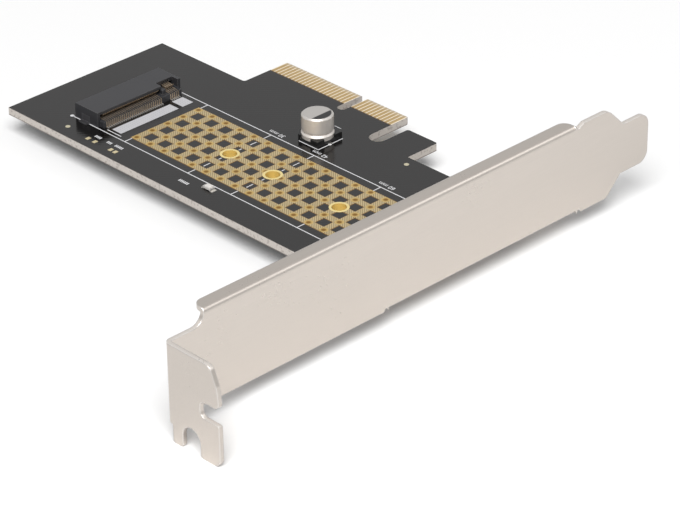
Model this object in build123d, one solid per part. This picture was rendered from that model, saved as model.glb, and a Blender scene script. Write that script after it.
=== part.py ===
from build123d import *
import os

# Lengths are in millimetres. The origin lies on the centre line of the key notch,
# at the outer edge of the edge contacts and halfway through the board's thickness.
# +X is the way the card is pushed in, +Y runs away from the slot bracket, +Z is up.

# Printed circuit board
board_thick = 1.57
board_height = 52.3
board_far_y = 46.9
shoulder_x = -12.1
key_notch_width = 1.9
key_notch_depth = 7.4
contact_pitch = 1.0
first_contact_y = 1.5
long_row_count = 21
short_row_count = 11
tongue_end_margin = 0.65
tongue_corner_radius = 0.8
inner_corner_radius = 0.6
bevel_length = 0.5
bevel_depth = 0.25
hook_slot_width = 3.65
hook_length = 8.0
hook_x = -4.05
hook_corner_radius = 0.5

# Copper on the board
copper_thick = 0.05
contact_width = 0.7
contact_inner_x = -4.94
plating_wall = 0.2

# Module place: axis, the line its inner end reaches, and the stand-off holes
module_axis_inset = 17.35
module_end_inset = 15.49
module_lengths = (30, 42, 60, 80)
hole_bore_radius = 1.45
hole_pad_radius = 1.95

# Copper lattice under the module
lattice_pitch = 4.0
lattice_opening = 2.45
lattice_columns = 4
lattice_rows = 18
lattice_start_distance = 14.15
lattice_border = 1.545

# Round pads for placing, and the small loose pads
placing_pad_radius = 0.5
placing_pad_inset = 2.98
placing_pad_far_distance = 14.64
placing_pad_shoulder_distance = 2.29
placing_pad_hook_distance = 1.88
small_pad_size = (1.0, 0.8)
small_pad_inset = 2.5
small_pad_distances = (5.78, 7.79, 12.47, 13.8)

# Module socket
socket_width = 21.4
socket_mouth_depth = 3.86
socket_back_depth = 2.89
socket_height = 3.2
socket_edge_chamfer = 0.25
jaw_reach = 1.05
mouth_width = 20.1
mouth_floor = 1.4
mouth_height = 0.95
mouth_end_play = 0.1
mouth_lead_in = 0.3
key_post_width = 0.9
key_post_offset = 6.125
key_post_reach = 0.35
cover_window_depth = 1.75
cover_window_length = 4.3
socket_pitch = 0.5
pin_step = socket_pitch / 2
pin_centre = 38
odd_pins = tuple(range(1, 58, 2)) + tuple(range(67, 76, 2))
even_pins = tuple(range(2, 59, 2)) + tuple(range(68, 75, 2))
pin_width = 0.28
pin_thick = 0.16
pin_side_play = 0.03
pin_play = 0.06
lower_foot_reach = 0.5
lower_beam_top = 1.16
lower_bump_depth = 2.05
lower_bump_top = 1.68
upper_foot_reach = 0.8
upper_beam_bottom = 2.7
upper_bump_depth = 0.45
upper_bump_bottom = 1.95
upper_tip_run = 0.3
upper_tip_rise = 0.35
lower_groove_run = 1.1
anchor_thick = 0.25
anchor_length = 2.4
anchor_reach = 0.9
anchor_rise = 1.6
anchor_depth = 3.65

# Capacitor
can_radius = 3.15
capacitor_height = 5.4
capacitor_shoulder_distance = 6.46
capacitor_key_distance = 5.76
can_top_bevel = 0.3
can_rim_radius = 3.25
can_rim_height = 0.1
can_groove_radius = 2.9
can_groove_slope = 0.4
base_side = 6.6
base_thick = 1.35
base_corner_cut = 1.3
base_seat_depth = 0.7
base_seat_play = 0.05
base_lip_side = 1.9
lead_width = 0.65
lead_thick = 0.2
lead_reach = 0.5
lead_length = 2.6
lead_play = 0.03

# Indicator light
light_inset = 5.2
light_module_distance = 37.51
light_length = 2.3
light_width = 1.25
light_slab = 0.3
light_lens_length = 1.3
light_lens_rise = 0.3
light_lens_draft = 8.0
cap_length = 0.45
cap_wall = 0.08
light_pad_length = 0.7

# Slot bracket, folded from one sheet
sheet_thick = 0.86
bracket_outer_y = -58.55
board_bracket_gap = 0.3
bracket_width = 18.42
bracket_length = 120.02
tail_tip_x = 16.79
tail_width = 10.19
tail_centre_drop = 0.26
tail_corner_radius = 2.4
taper_start_distance = 11.39
taper_top_radius = 3.3
taper_low_radius = 1.5
fold_radius = 1.05
top_flange_reach = 3.05
top_flange_tab_distance = 8.38
top_flange_tail_distance = 20.29
top_flange_corner_radius = 1.9
top_notch_tip_offset = 0.6
top_notch_depth = 0.85
top_notch_width = 2.3
bottom_flange_reach = 7.4
bottom_notch_board_offset = 0.17
bottom_notch_tail_distance = 19.0
bottom_notch_half = 0.6
bottom_notch_depth = 0.75
step_drop = 2.92
step_radius = 2.5

# Bracket tab and its notches
tab_fold_radius = 1.3
tab_reach = 12.29
tab_width = 19.05
tab_shoulder_reach = 10.45
tab_shoulder_drop = 3.5
tab_cheek_inset = 0.35
tab_lip_drop = 7.16
tab_lip_radius = 0.35
side_notch_low_drop = 10.91
side_notch_width = 3.2
side_notch_depth = 4.6
screw_notch_distance = 5.3
screw_notch_width = 4.42
screw_notch_depth = 4.75
leg_inner_distance = 0.65
leg_corner_radius = 0.6
leg_outer_radius = 1.6

# Screws that hold the board to the bracket's lower flange
screw_radius = 1.5
screw_play = 0.1
screw_inset = 4.0
screw_shoulder_distance = 4.9
screw_wall_distance = 3.4
screw_head_radius = 2.75
screw_head_height = 1.9
screw_head_bevel = 0.3
screw_end_reach = 0.4
board_hole_play = 0.1

# Values that follow from the ones above
board_top = board_thick / 2
board_bottom = -board_top
board_left_x = -board_height
bracket_inner_y = bracket_outer_y + sheet_thick
board_near_y = bracket_inner_y + board_bracket_gap
long_tongue_end_y = first_contact_y + (long_row_count - 1) * contact_pitch + tongue_end_margin
short_tongue_end_y = -first_contact_y - (short_row_count - 1) * contact_pitch - tongue_end_margin
hook_slot_near_y = short_tongue_end_y - hook_slot_width
hook_near_y = hook_slot_near_y - hook_length

module_axis_x = board_left_x + module_axis_inset
module_end_y = board_far_y - module_end_inset
hole_places_y = tuple(module_end_y - length for length in module_lengths)
lattice_first_row_y = module_end_y - lattice_start_distance
lattice_half_x = (lattice_columns - 1) * lattice_pitch / 2 + lattice_opening / 2 + lattice_border
lattice_far_y = lattice_first_row_y + lattice_opening / 2 + lattice_border
lattice_last_row_y = lattice_first_row_y - (lattice_rows - 1) * lattice_pitch
lattice_near_y = lattice_last_row_y - lattice_opening / 2 - lattice_border

far_placing_pad = (board_left_x + placing_pad_inset, board_far_y - placing_pad_far_distance)
near_placing_pad = (shoulder_x - placing_pad_shoulder_distance, hook_near_y - placing_pad_hook_distance)
small_pad_x = board_left_x + small_pad_inset
small_pad_rows = tuple(module_end_y - distance for distance in small_pad_distances)
light_centre = (board_left_x + light_inset, module_end_y - light_module_distance)
capacitor_centre = (shoulder_x - capacitor_shoulder_distance, -capacitor_key_distance)

socket_front_y = module_end_y - socket_mouth_depth
socket_back_y = module_end_y + socket_back_depth
jaw_front_y = socket_front_y - jaw_reach
key_post_x = module_axis_x + key_post_offset
key_post_front_y = socket_front_y - key_post_reach
cover_window_back_y = socket_front_y + cover_window_depth
lower_foot_front_y = jaw_front_y - lower_foot_reach
lower_bump_y = socket_front_y + lower_bump_depth
upper_foot_back_y = socket_back_y + upper_foot_reach
upper_bump_y = socket_front_y + upper_bump_depth
anchor_centre_y = socket_front_y + anchor_depth

bracket_bottom_z = board_bottom - sheet_thick
bracket_top_z = bracket_bottom_z + bracket_width
tab_outer_x = tail_tip_x - bracket_length
taper_start_x = tail_tip_x - taper_start_distance
top_flange_start_x = tab_outer_x + top_flange_tab_distance
top_flange_end_x = tail_tip_x - top_flange_tail_distance
top_notch_tip_x = top_flange_end_x + top_notch_tip_offset
top_notch_end_x = top_flange_end_x + top_notch_width
bottom_notch_places = (board_left_x - bottom_notch_board_offset, tail_tip_x - bottom_notch_tail_distance)
step_z = bracket_top_z - step_drop
tab_low_z = step_z - tab_width
tab_shoulder_y = bracket_outer_y - tab_shoulder_reach
tab_lip_low_z = step_z - tab_lip_drop
side_notch_low_z = step_z - side_notch_low_drop
screw_notch_y = bracket_outer_y - screw_notch_distance
screw_notch_top_z = tab_low_z + screw_notch_depth
leg_inner_y = bracket_outer_y - leg_inner_distance

screw_y = bracket_inner_y + screw_wall_distance
screw_places_x = (board_left_x + screw_inset, shoulder_x - screw_shoulder_distance)


def block(x_from, x_to, y_from, y_to, z_from, z_to):
    size = (x_to - x_from, y_to - y_from, z_to - z_from)
    middle = ((x_from + x_to) / 2, (y_from + y_to) / 2, (z_from + z_to) / 2)
    return Pos(*middle) * Box(*size)


def rod(x, y, radius, z_from, z_to):
    return Pos(x, y, (z_from + z_to) / 2) * Cylinder(radius, z_to - z_from)


def side_profile(points, x_from, x_to):
    face = Plane.YZ * make_face(Polyline(*points, close=True))
    return Pos(x_from, 0, 0) * extrude(face, x_to - x_from)


def round_corner(face, place, radius):
    corner = face.vertices().sort_by_distance(Vector(place[0], place[1], 0))[0]
    return fillet(corner, radius)


def rectangle_between(x_from, x_to, y_from, y_to):
    middle = ((x_from + x_to) / 2, (y_from + y_to) / 2)
    return Pos(*middle) * Rectangle(abs(x_to - x_from), abs(y_to - y_from))


# Board

def board_face():
    face = rectangle_between(board_left_x, shoulder_x, board_near_y, board_far_y)
    face += rectangle_between(shoulder_x, 0, short_tongue_end_y, long_tongue_end_y)
    face += rectangle_between(shoulder_x, hook_x, hook_near_y, hook_slot_near_y)
    slot_end_x = shoulder_x + hook_slot_width / 2
    face += rectangle_between(shoulder_x, slot_end_x, hook_slot_near_y, short_tongue_end_y)
    face = face.face()
    for outer_y in (short_tongue_end_y, long_tongue_end_y):
        face = round_corner(face, (0, outer_y), tongue_corner_radius)
    face = round_corner(face, (hook_x, hook_near_y), hook_corner_radius)
    face = round_corner(face, (hook_x, hook_slot_near_y), hook_corner_radius)
    face = round_corner(face, (shoulder_x, long_tongue_end_y), inner_corner_radius)
    return face


def round_ended_cut(end_x, y_from, y_to):
    radius = (y_to - y_from) / 2
    centre_x = end_x + radius
    cut = rectangle_between(centre_x, contact_pitch, y_from, y_to)
    return cut + Pos(centre_x, (y_from + y_to) / 2) * Circle(radius)


def key_notch_cut():
    return round_ended_cut(-key_notch_depth, -key_notch_width / 2, key_notch_width / 2)


def hook_slot_cut():
    return round_ended_cut(shoulder_x, hook_slot_near_y, short_tongue_end_y)


def contact_bevels():
    bevels = []
    for side in (1, -1):
        points = (
            (-bevel_length, side * board_top),
            (bevel_length, side * board_top),
            (bevel_length, side * (board_top - 2 * bevel_depth)),
        )
        wedge_face = Plane.XZ * make_face(Polyline(*points, close=True))
        wedge = Pos(0, long_tongue_end_y, 0) * extrude(wedge_face, long_tongue_end_y - short_tongue_end_y)
        bevels.append(wedge)
    return bevels


def circuit_board():
    face = board_face() - key_notch_cut() - hook_slot_cut()
    for hole_y in hole_places_y:
        face -= Pos(module_axis_x, hole_y) * Circle(hole_bore_radius + plating_wall)
    for screw_x in screw_places_x:
        face -= Pos(screw_x, screw_y) * Circle(screw_radius + board_hole_play)
    board = Pos(0, 0, board_bottom) * extrude(face, board_thick)
    for bevel in contact_bevels():
        board -= bevel
    return board


# Copper

def contact_places():
    far_row = [first_contact_y + step * contact_pitch for step in range(long_row_count)]
    near_row = [-first_contact_y - step * contact_pitch for step in range(short_row_count)]
    return far_row + near_row


def edge_contacts(z_from, z_to):
    half = contact_width / 2
    pads = []
    for place_y in contact_places():
        pads.append(block(contact_inner_x, -bevel_length, place_y - half, place_y + half, z_from, z_to))
    return pads


def hole_plating(hole_y):
    bottom = board_bottom - copper_thick
    top = board_top + copper_thick
    sleeve = rod(module_axis_x, hole_y, hole_bore_radius + plating_wall, bottom, top)
    sleeve += rod(module_axis_x, hole_y, hole_pad_radius, board_top, top)
    sleeve += rod(module_axis_x, hole_y, hole_pad_radius, bottom, board_bottom)
    return sleeve - rod(module_axis_x, hole_y, hole_bore_radius, bottom, top)


def lattice_openings():
    first_x = module_axis_x - (lattice_columns - 1) * lattice_pitch / 2
    openings = []
    for column in range(lattice_columns):
        for row in range(lattice_rows):
            place = Pos(first_x + column * lattice_pitch, lattice_first_row_y - row * lattice_pitch)
            openings.append(place * Rectangle(lattice_opening, lattice_opening))
    for hole_y in hole_places_y:
        openings.append(Pos(module_axis_x, hole_y) * Circle(hole_pad_radius))
    return openings


def lattice_copper():
    left_x = module_axis_x - lattice_half_x
    right_x = module_axis_x + lattice_half_x
    face = rectangle_between(left_x, right_x, lattice_near_y, lattice_far_y)
    face -= lattice_openings()
    return Pos(0, 0, board_top) * extrude(face, copper_thick)


def part_pads():
    top = board_top + copper_thick
    length, width = small_pad_size
    pads = []
    for row_y in small_pad_rows:
        corner = (small_pad_x - length / 2, row_y - width / 2)
        pads.append(block(corner[0], corner[0] + length, corner[1], corner[1] + width, board_top, top))
    half_width = light_width / 2
    centre_x, centre_y = light_centre
    for side in (1, -1):
        outer_y = centre_y + side * (light_length + light_pad_length) / 2
        inner_y = outer_y - side * light_pad_length
        low_y, high_y = sorted((outer_y, inner_y))
        pads.append(block(centre_x - half_width, centre_x + half_width, low_y, high_y, board_top, top))
    return pads


def placing_pads():
    top = board_top + copper_thick
    return [rod(x, y, placing_pad_radius, board_top, top) for x, y in (far_placing_pad, near_placing_pad)]


# Module socket

def pin_x(pin):
    return module_axis_x + (pin - pin_centre) * pin_step


def above_board(*points):
    return [(y, board_top + height) for y, height in points]


def mouth_cut():
    half = mouth_width / 2
    floor = board_top + mouth_floor
    ceiling = floor + mouth_height
    back_y = module_end_y + mouth_end_play
    cut = block(module_axis_x - half, module_axis_x + half, jaw_front_y, back_y, floor, ceiling)
    lead_in = above_board(
        (socket_front_y, mouth_floor + mouth_height),
        (socket_front_y, mouth_floor + mouth_height + mouth_lead_in),
        (socket_front_y + mouth_lead_in, mouth_floor + mouth_height),
    )
    return cut + side_profile(lead_in, module_axis_x - half, module_axis_x + half)


def cover_window():
    right_x = module_axis_x + mouth_width / 2
    floor = board_top + mouth_floor
    roof = board_top + socket_height
    return block(right_x - cover_window_length, right_x, socket_front_y, cover_window_back_y, floor, roof)


def lower_groove(pin):
    half = pin_width / 2 + pin_side_play
    beam_bottom = lower_beam_top - pin_thick - pin_play
    riser_back_y = jaw_front_y + 2 * pin_play + pin_thick
    outline = above_board(
        (jaw_front_y, 0),
        (riser_back_y, 0),
        (riser_back_y, beam_bottom),
        (lower_bump_y + lower_groove_run, beam_bottom),
        (lower_bump_y + lower_groove_run, mouth_floor),
        (jaw_front_y, mouth_floor),
    )
    return side_profile(outline, pin_x(pin) - half, pin_x(pin) + half)


def upper_groove(pin):
    half = pin_width / 2 + pin_side_play
    beam_top = upper_beam_bottom + pin_thick + pin_play
    mouth_ceiling = mouth_floor + mouth_height
    riser_front_y = socket_back_y - 3 * pin_play - pin_thick
    groove_front_y = socket_front_y + mouth_lead_in + pin_play
    outline = above_board(
        (groove_front_y, mouth_ceiling),
        (groove_front_y, beam_top),
        (socket_back_y, beam_top),
        (socket_back_y, 0),
        (riser_front_y, 0),
        (riser_front_y, mouth_ceiling),
    )
    return side_profile(outline, pin_x(pin) - half, pin_x(pin) + half)


def socket_housing():
    half = socket_width / 2
    left_x = module_axis_x - half
    right_x = module_axis_x + half
    outline = above_board(
        (socket_front_y, 0),
        (socket_back_y, 0),
        (socket_back_y, socket_height - socket_edge_chamfer),
        (socket_back_y - socket_edge_chamfer, socket_height),
        (socket_front_y, socket_height),
    )
    housing = side_profile(outline, left_x, right_x)
    jaw_left_x = module_axis_x - mouth_width / 2
    jaw_right_x = module_axis_x + mouth_width / 2
    jaw_top = board_top + mouth_floor
    housing += block(jaw_left_x, jaw_right_x, jaw_front_y, socket_front_y, board_top, jaw_top)
    housing -= mouth_cut()
    housing -= cover_window()
    housing -= [lower_groove(pin) for pin in odd_pins]
    housing -= [upper_groove(pin) for pin in even_pins]
    post_back_y = module_end_y + mouth_end_play
    post_left_x = key_post_x - key_post_width / 2
    post_right_x = key_post_x + key_post_width / 2
    post_top = jaw_top + mouth_height
    housing += block(post_left_x, post_right_x, key_post_front_y, post_back_y, jaw_top, post_top)
    for side in (1, -1):
        housing -= anchor_recess(side)
    return housing


def lower_contact(pin):
    riser_y = jaw_front_y + pin_play
    beam_bottom = lower_beam_top - pin_thick
    outline = above_board(
        (lower_foot_front_y, 0),
        (riser_y + pin_thick, 0),
        (riser_y + pin_thick, beam_bottom),
        (lower_bump_y, lower_bump_top - pin_thick),
        (lower_bump_y, lower_bump_top),
        (riser_y, lower_beam_top),
        (riser_y, pin_thick),
        (lower_foot_front_y, pin_thick),
    )
    return side_profile(outline, pin_x(pin) - pin_width / 2, pin_x(pin) + pin_width / 2)


def upper_contact(pin):
    riser_y = socket_back_y - 2 * pin_play
    beam_top = upper_beam_bottom + pin_thick
    tip_y = upper_bump_y - upper_tip_run
    tip_bottom = upper_bump_bottom + upper_tip_rise
    outline = above_board(
        (upper_foot_back_y, 0),
        (riser_y - pin_thick, 0),
        (riser_y - pin_thick, upper_beam_bottom),
        (upper_bump_y, upper_bump_bottom),
        (tip_y, tip_bottom),
        (tip_y, tip_bottom + pin_thick),
        (upper_bump_y, upper_bump_bottom + pin_thick),
        (riser_y, beam_top),
        (riser_y, pin_thick),
        (upper_foot_back_y, pin_thick),
    )
    return side_profile(outline, pin_x(pin) - pin_width / 2, pin_x(pin) + pin_width / 2)


def anchor_span(side, inner, outer):
    end_x = module_axis_x + side * socket_width / 2
    return sorted((end_x + side * inner, end_x + side * outer))


def anchor_recess(side):
    x_from, x_to = anchor_span(side, -anchor_thick, 0)
    y_from = anchor_centre_y - anchor_length / 2
    y_to = anchor_centre_y + anchor_length / 2
    return block(x_from, x_to, y_from, y_to, board_top, board_top + anchor_rise)


def socket_anchor(side):
    half = anchor_length / 2
    y_from = anchor_centre_y - half
    y_to = anchor_centre_y + half
    wall_from, wall_to = anchor_span(side, -anchor_thick, 0)
    foot_from, foot_to = anchor_span(side, -anchor_thick, anchor_reach)
    wall = block(wall_from, wall_to, y_from, y_to, board_top, board_top + anchor_rise)
    return wall + block(foot_from, foot_to, y_from, y_to, board_top, board_top + anchor_thick)


# Capacitor

def capacitor_seat_z():
    return board_top + base_thick - base_seat_depth


def capacitor_can():
    seat = capacitor_seat_z()
    top = board_top + capacitor_height
    rim_top = board_top + base_thick + can_rim_height
    groove_z = rim_top + can_groove_slope
    outline = Polyline(
        (0, seat),
        (can_rim_radius, seat),
        (can_rim_radius, rim_top),
        (can_groove_radius, groove_z),
        (can_radius, groove_z + can_groove_slope),
        (can_radius, top - can_top_bevel),
        (can_radius - can_top_bevel, top),
        (0, top),
        close=True,
    )
    can = revolve(Plane.XZ * make_face(outline), Axis.Z)
    return Pos(capacitor_centre[0], capacitor_centre[1], 0) * can


def lead_spans():
    centre_y = capacitor_centre[1]
    outer = base_side / 2 + lead_reach
    return [sorted((centre_y + side * outer, centre_y + side * (outer - lead_length))) for side in (1, -1)]


def capacitor_leads():
    x_from = capacitor_centre[0] - lead_width / 2
    x_to = capacitor_centre[0] + lead_width / 2
    top = board_top + lead_thick
    return [block(x_from, x_to, low, high, board_top, top) for low, high in lead_spans()]


def capacitor_base():
    centre_x, centre_y = capacitor_centre
    half = base_side / 2
    seat = capacitor_seat_z()
    face = rectangle_between(centre_x - half, centre_x + half, centre_y - half, centre_y + half)
    for side in (1, -1):
        corner_place = Vector(centre_x + side * half, centre_y + half, 0)
        corner = face.vertices().sort_by_distance(corner_place)[0]
        face = chamfer(corner, base_corner_cut)
    base = Pos(0, 0, board_top) * extrude(face, base_thick)
    base -= rod(centre_x, centre_y, can_rim_radius + base_seat_play, seat, board_top + base_thick)
    gap_half = half - base_lip_side
    rise = base_thick - base_seat_depth
    low, high = board_top + rise, board_top + base_thick
    for half_x, half_y in ((gap_half, half), (half, gap_half)):
        base -= block(centre_x - half_x, centre_x + half_x, centre_y - half_y, centre_y + half_y, low, high)
    groove_left_x = centre_x - lead_width / 2 - lead_play
    groove_right_x = centre_x + lead_width / 2 + lead_play
    groove_top = board_top + lead_thick + lead_play
    for span_low, span_high in lead_spans():
        y_from, y_to = span_low - lead_play, span_high + lead_play
        base -= block(groove_left_x, groove_right_x, y_from, y_to, board_top, groove_top)
    return base


# Indicator light

def light_bottom_z():
    return board_top + copper_thick + cap_wall


def light_body():
    centre_x, centre_y = light_centre
    slab_length = light_length - 2 * cap_wall
    low = light_bottom_z()
    high = low + light_slab
    half_x, half_y = light_width / 2, slab_length / 2
    slab = block(centre_x - half_x, centre_x + half_x, centre_y - half_y, centre_y + half_y, low, high)
    lens_face = Pos(centre_x, centre_y, high) * Rectangle(light_width, light_lens_length)
    return slab + extrude(lens_face, light_lens_rise, taper=light_lens_draft)


def light_terminals():
    centre_x, centre_y = light_centre
    low = board_top + copper_thick
    slab_low = light_bottom_z()
    slab_high = slab_low + light_slab
    half_x, half_y = light_width / 2, light_length / 2
    caps = []
    for side in (1, -1):
        outer_y = centre_y + side * half_y
        y_from, y_to = sorted((outer_y, outer_y - side * cap_length))
        cap = block(centre_x - half_x, centre_x + half_x, y_from, y_to, low, slab_high + cap_wall)
        fill_from, fill_to = sorted((outer_y - side * cap_wall, outer_y - side * light_length / 2))
        cap -= block(centre_x - half_x, centre_x + half_x, fill_from, fill_to, slab_low, slab_high)
        caps.append(cap)
    return caps


# Slot bracket

def quarter_ring(outer_radius, x_side, y_side):
    ring = Circle(outer_radius) - Circle(outer_radius - sheet_thick)
    half = outer_radius / 2
    return ring & (Pos(x_side * half, y_side * half) * Rectangle(outer_radius, outer_radius))


def folded_flange(x_from, x_to, edge_z, up, reach):
    centre_y = bracket_outer_y + fold_radius
    centre_z = edge_z - up * fold_radius
    ring = Plane.YZ * (Pos(centre_y, centre_z) * quarter_ring(fold_radius, -1, up))
    fold = Pos(x_from, 0, 0) * extrude(ring, x_to - x_from)
    z_from, z_to = sorted((edge_z, edge_z - up * sheet_thick))
    return fold, block(x_from, x_to, centre_y, bracket_outer_y + reach, z_from, z_to)


def fold_clearing(x_from, x_to, edge_z, up):
    z_from, z_to = sorted((edge_z, edge_z - up * fold_radius))
    return block(x_from, x_to, bracket_outer_y, bracket_inner_y, z_from, z_to)


def plate_face():
    tail_middle_z = (bracket_bottom_z + bracket_top_z) / 2 - tail_centre_drop
    tail_low_z = tail_middle_z - tail_width / 2
    tail_high_z = tail_middle_z + tail_width / 2
    points = [(tab_outer_x + tab_fold_radius, bracket_bottom_z)]
    for notch_x in bottom_notch_places:
        points.append((notch_x - bottom_notch_half, bracket_bottom_z))
        points.append((notch_x, bracket_bottom_z + bottom_notch_depth))
        points.append((notch_x + bottom_notch_half, bracket_bottom_z))
    low_root_x = taper_start_x + tail_low_z - bracket_bottom_z
    high_root_x = taper_start_x + bracket_top_z - tail_high_z
    points += [
        (taper_start_x, bracket_bottom_z),
        (low_root_x, tail_low_z),
        (tail_tip_x, tail_low_z),
        (tail_tip_x, tail_high_z),
        (high_root_x, tail_high_z),
        (taper_start_x, bracket_top_z),
        (top_notch_end_x, bracket_top_z),
        (top_notch_tip_x, bracket_top_z - top_notch_depth),
        (top_flange_end_x, bracket_top_z),
        (top_flange_start_x, bracket_top_z),
        (top_flange_start_x, step_z),
        (tab_outer_x + tab_fold_radius, step_z),
    ]
    face = make_face(Polyline(*points, close=True))
    for corner_z in (tail_low_z, tail_high_z):
        face = round_corner(face, (tail_tip_x, corner_z), tail_corner_radius)
    face = round_corner(face, (taper_start_x, bracket_bottom_z), taper_low_radius)
    face = round_corner(face, (taper_start_x, bracket_top_z), taper_top_radius)
    return round_corner(face, (top_flange_start_x, step_z), step_radius)


def tab_face():
    fold_y = bracket_inner_y - tab_fold_radius
    outer_y = bracket_outer_y - tab_reach
    notch_high_z = side_notch_low_z + side_notch_width
    points = [
        (fold_y, step_z),
        (tab_shoulder_y, step_z),
        (outer_y + tab_cheek_inset, step_z - tab_shoulder_drop),
        (outer_y, tab_lip_low_z + (notch_high_z - side_notch_low_z) / 2),
        (outer_y, tab_lip_low_z),
        (outer_y + 2 * tab_cheek_inset, notch_high_z),
        (outer_y + side_notch_depth, notch_high_z),
        (outer_y + side_notch_depth, side_notch_low_z),
        (outer_y, side_notch_low_z),
        (outer_y, tab_low_z),
        (leg_inner_y, tab_low_z),
        (leg_inner_y, bracket_bottom_z),
        (fold_y, bracket_bottom_z),
    ]
    face = make_face(Polyline(*points, close=True))
    face = round_corner(face, (tab_shoulder_y, step_z), leg_outer_radius)
    face = round_corner(face, (outer_y, tab_lip_low_z), tab_lip_radius)
    notch_end_radius = side_notch_width / 2 - tab_lip_radius
    for corner_z in (side_notch_low_z, notch_high_z):
        face = round_corner(face, (outer_y + side_notch_depth, corner_z), notch_end_radius)
    face = round_corner(face, (outer_y, side_notch_low_z), tab_lip_radius)
    return round_corner(face, (outer_y, tab_low_z), leg_outer_radius)


def screw_notch_face():
    half = screw_notch_width / 2
    centre_z = screw_notch_top_z - half
    notch = rectangle_between(screw_notch_y - half, screw_notch_y + half, tab_low_z - half, centre_z)
    return notch + Pos(screw_notch_y, centre_z) * Circle(half)


def bracket_tab():
    half = screw_notch_width / 2
    face = (tab_face() - screw_notch_face()).face()
    for side in (1, -1):
        face = round_corner(face, (screw_notch_y + side * half, tab_low_z), leg_corner_radius)
    face = round_corner(face, (leg_inner_y, tab_low_z), leg_corner_radius)
    flat = Pos(tab_outer_x, 0, 0) * extrude(Plane.YZ * face, sheet_thick)
    ring = quarter_ring(tab_fold_radius, -1, 1)
    ring_place = Pos(tab_outer_x + tab_fold_radius, bracket_inner_y - tab_fold_radius, bracket_bottom_z)
    return flat, ring_place * extrude(ring, step_z - bracket_bottom_z)


def rounded_top_flange(flange):
    free_y = bracket_outer_y + top_flange_reach
    upright = flange.edges().filter_by(Axis.Z)
    free_edges = upright.filter_by(lambda edge: abs(edge.center().Y - free_y) < sheet_thick / 2)
    return fillet(free_edges, top_flange_corner_radius)


def bracket():
    plate_plane = Plane(origin=(0, bracket_inner_y, 0), x_dir=(1, 0, 0), z_dir=(0, -1, 0))
    plate = extrude(plate_plane * plate_face(), sheet_thick)
    low_start_x = bottom_notch_places[0] + bottom_notch_half
    low_end_x = bottom_notch_places[1] - bottom_notch_half
    plate -= fold_clearing(top_flange_start_x, top_flange_end_x, bracket_top_z, 1)
    plate -= fold_clearing(low_start_x, low_end_x, bracket_bottom_z, -1)
    top_fold, top_flat = folded_flange(
        top_flange_start_x, top_flange_end_x, bracket_top_z, 1, top_flange_reach
    )
    low_fold, low_flat = folded_flange(
        low_start_x, low_end_x, bracket_bottom_z, -1, bottom_flange_reach
    )
    for screw_x in screw_places_x:
        low_flat -= rod(screw_x, screw_y, screw_radius + screw_play, bracket_bottom_z, board_bottom)
    tab_flat, tab_fold = bracket_tab()
    sheet = plate + top_fold + rounded_top_flange(top_flat) + low_fold + low_flat + tab_fold + tab_flat
    return sheet.clean()


# Screws

def bracket_screw(screw_x):
    end_z = bracket_bottom_z - screw_end_reach
    head_top = board_top + screw_head_height
    shank = rod(screw_x, screw_y, screw_radius, end_z, board_top)
    head = rod(screw_x, screw_y, screw_head_radius, board_top, head_top)
    top_edge = head.edges().filter_by(GeomType.CIRCLE).sort_by(Axis.Z)[-1]
    return chamfer(top_edge, screw_head_bevel) + shank


def group(solids):
    return Compound(children=[solid for piece in solids for solid in piece.solids()])


nodes = {
    "circuit_board": circuit_board(),
    "lattice_copper": lattice_copper(),
    "edge_contacts_front": group(edge_contacts(board_top, board_top + copper_thick)),
    "edge_contacts_back": group(edge_contacts(board_bottom - copper_thick, board_bottom)),
    "part_pads": group(part_pads()),
    "placing_pads": group(placing_pads()),
    "socket_housing": socket_housing(),
    "socket_lower_contacts": group([lower_contact(pin) for pin in odd_pins]),
    "socket_upper_contacts": group([upper_contact(pin) for pin in even_pins]),
    "socket_anchor_left": socket_anchor(-1),
    "socket_anchor_right": socket_anchor(1),
    "capacitor_can": capacitor_can(),
    "capacitor_base": capacitor_base(),
    "capacitor_leads": group(capacitor_leads()),
    "light_body": light_body(),
    "light_terminals": group(light_terminals()),
    "bracket": bracket(),
    "bracket_screws": group([bracket_screw(screw_x) for screw_x in screw_places_x]),
}
for length, hole_y in zip(module_lengths, hole_places_y):
    nodes[f"hole_plating_{length}"] = hole_plating(hole_y)

os.makedirs("parts", exist_ok=True)
for name, shape in nodes.items():
    export_step(shape, f"parts/{name}.step")
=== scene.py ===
import bpy
import math
from mathutils import Matrix, Vector


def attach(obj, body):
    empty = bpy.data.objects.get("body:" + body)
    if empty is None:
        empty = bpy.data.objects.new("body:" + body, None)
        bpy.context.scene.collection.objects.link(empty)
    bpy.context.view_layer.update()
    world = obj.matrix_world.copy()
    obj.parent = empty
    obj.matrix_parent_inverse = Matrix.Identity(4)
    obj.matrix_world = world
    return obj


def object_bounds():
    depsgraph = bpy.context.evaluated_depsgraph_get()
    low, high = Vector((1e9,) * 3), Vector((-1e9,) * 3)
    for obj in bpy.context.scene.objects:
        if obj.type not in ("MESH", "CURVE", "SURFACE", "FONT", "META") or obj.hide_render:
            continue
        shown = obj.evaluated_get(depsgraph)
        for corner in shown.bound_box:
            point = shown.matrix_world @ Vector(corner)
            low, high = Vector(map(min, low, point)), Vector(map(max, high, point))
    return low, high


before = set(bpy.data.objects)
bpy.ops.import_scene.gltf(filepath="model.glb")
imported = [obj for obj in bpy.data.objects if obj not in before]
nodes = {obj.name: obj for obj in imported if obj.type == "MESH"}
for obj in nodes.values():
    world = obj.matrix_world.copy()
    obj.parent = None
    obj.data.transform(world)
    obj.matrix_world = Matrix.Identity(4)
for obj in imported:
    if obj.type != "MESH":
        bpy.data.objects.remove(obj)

cad_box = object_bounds()
MM = 0.001

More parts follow.
